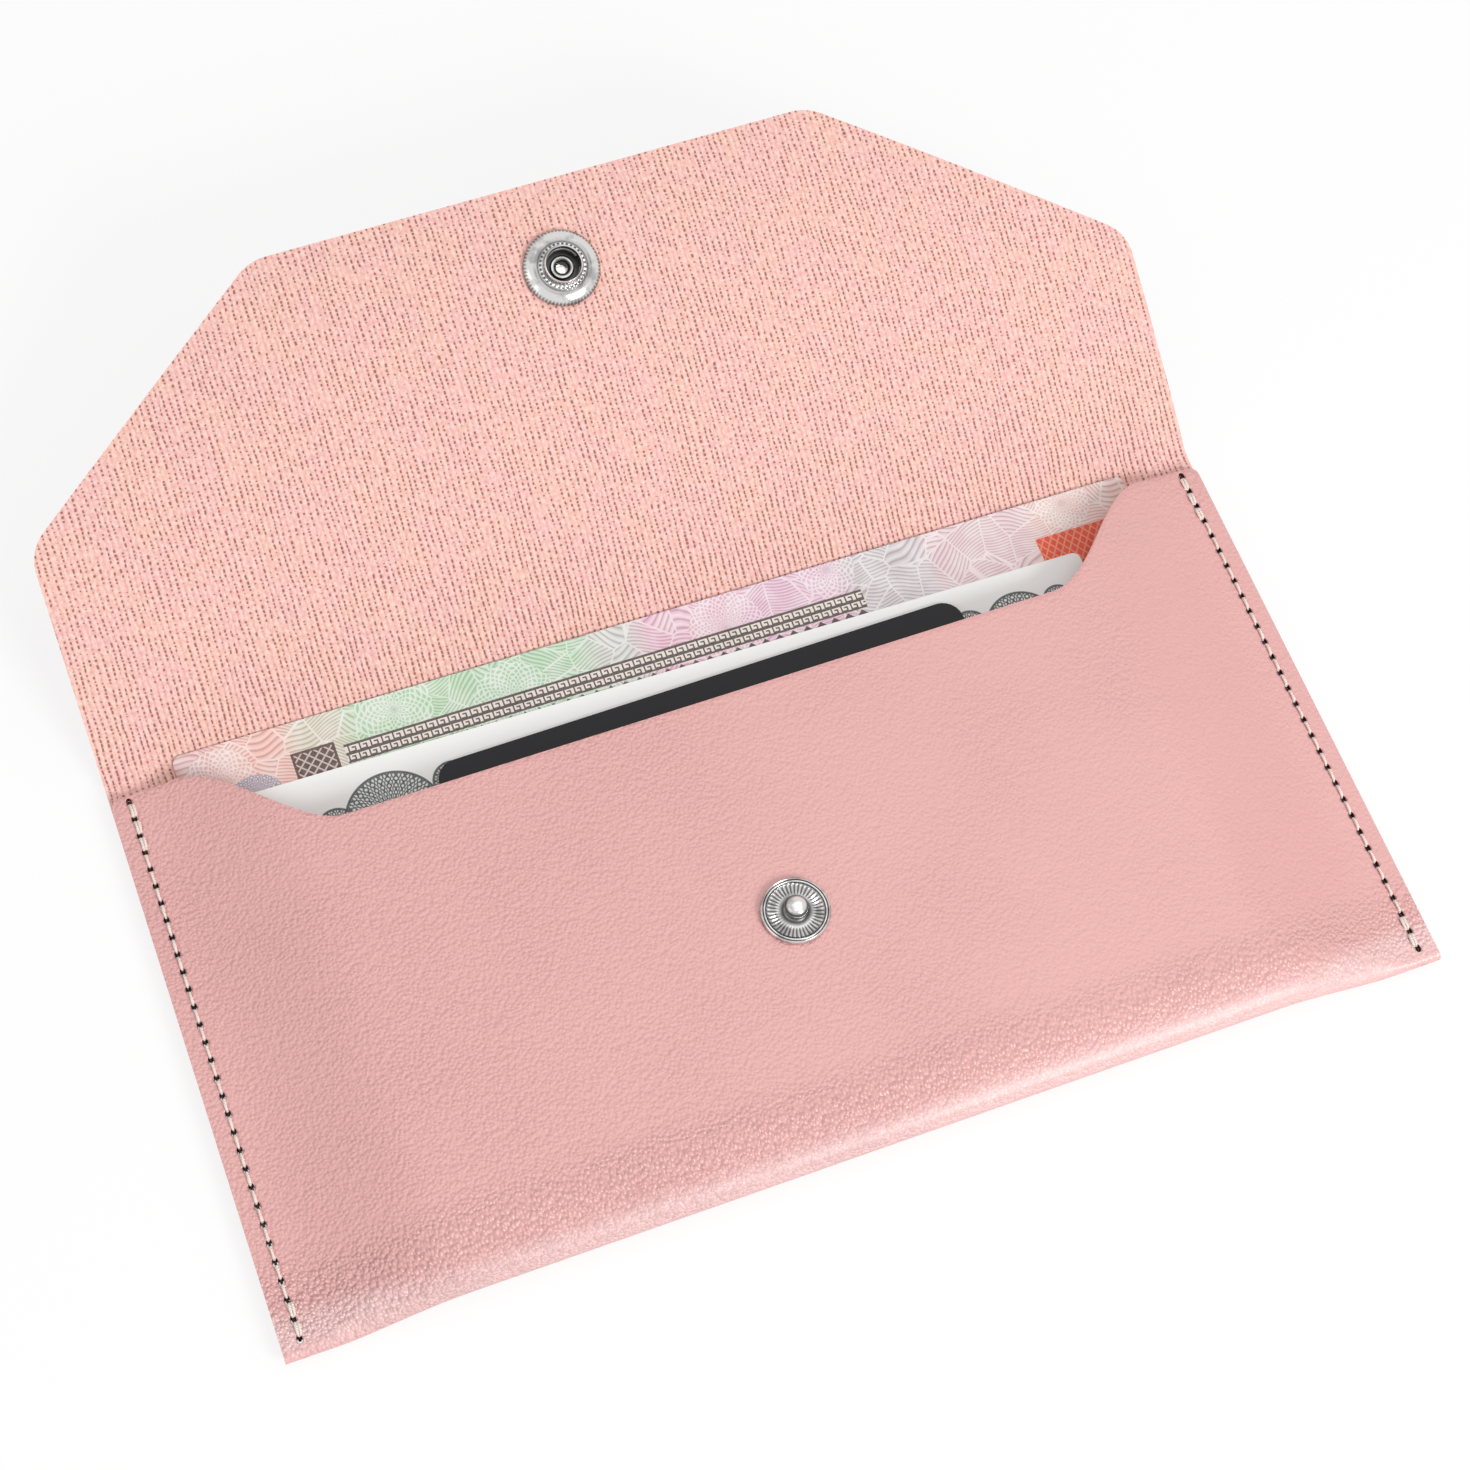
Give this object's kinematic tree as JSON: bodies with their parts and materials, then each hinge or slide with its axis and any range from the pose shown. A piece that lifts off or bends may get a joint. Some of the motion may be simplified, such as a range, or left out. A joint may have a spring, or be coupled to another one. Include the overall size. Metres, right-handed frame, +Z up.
{
  "type": "cash envelope wallet",
  "caption": "Flat leather envelope wallet, open snap flap at the back edge, side seams stitched, with banknotes and a blank card in its pocket.",
  "frame": {"origin": "middle of the back panel's underside, on the table", "axes": "+X across the wallet, +Y from the bottom fold towards the flap, +Z up through the front panel"},
  "size_m": [0.178, 0.1545, 0.0327],
  "materials": {
    "leather": "smooth pink coated leather, fine grain, knit backing inside",
    "thread": "twisted sewing thread, matte",
    "snap_metal": "nickel-plated, polished",
    "spring_wire": "drawn spring wire",
    "printed_paper": "pale printed note paper, matte",
    "white_paper": "white note paper with fine grey-green engraving",
    "card_plastic": "near-black satin card"
  },
  "bodies": {
    "pouch": {"pouch_shell": "leather", "needle_thread_left": "thread", "needle_thread_right": "thread", "bobbin_thread_left": "thread", "bobbin_thread_right": "thread", "snap_stud": "snap_metal", "snap_post": "snap_metal", "banknote_rear": "printed_paper", "banknote_front": "white_paper", "card": "card_plastic"},
    "flap": {"flap_panel": "leather", "snap_cap": "snap_metal", "snap_socket": "snap_metal", "snap_spring": "spring_wire"}
  },
  "joints": [
    {"name": "flap_hinge", "type": "hinge", "parent": "pouch", "child": "flap", "pos_m": [0, 0.046, 0.0075], "axis": [1, 0, 0], "range_deg": [0, 153]}
  ]
}
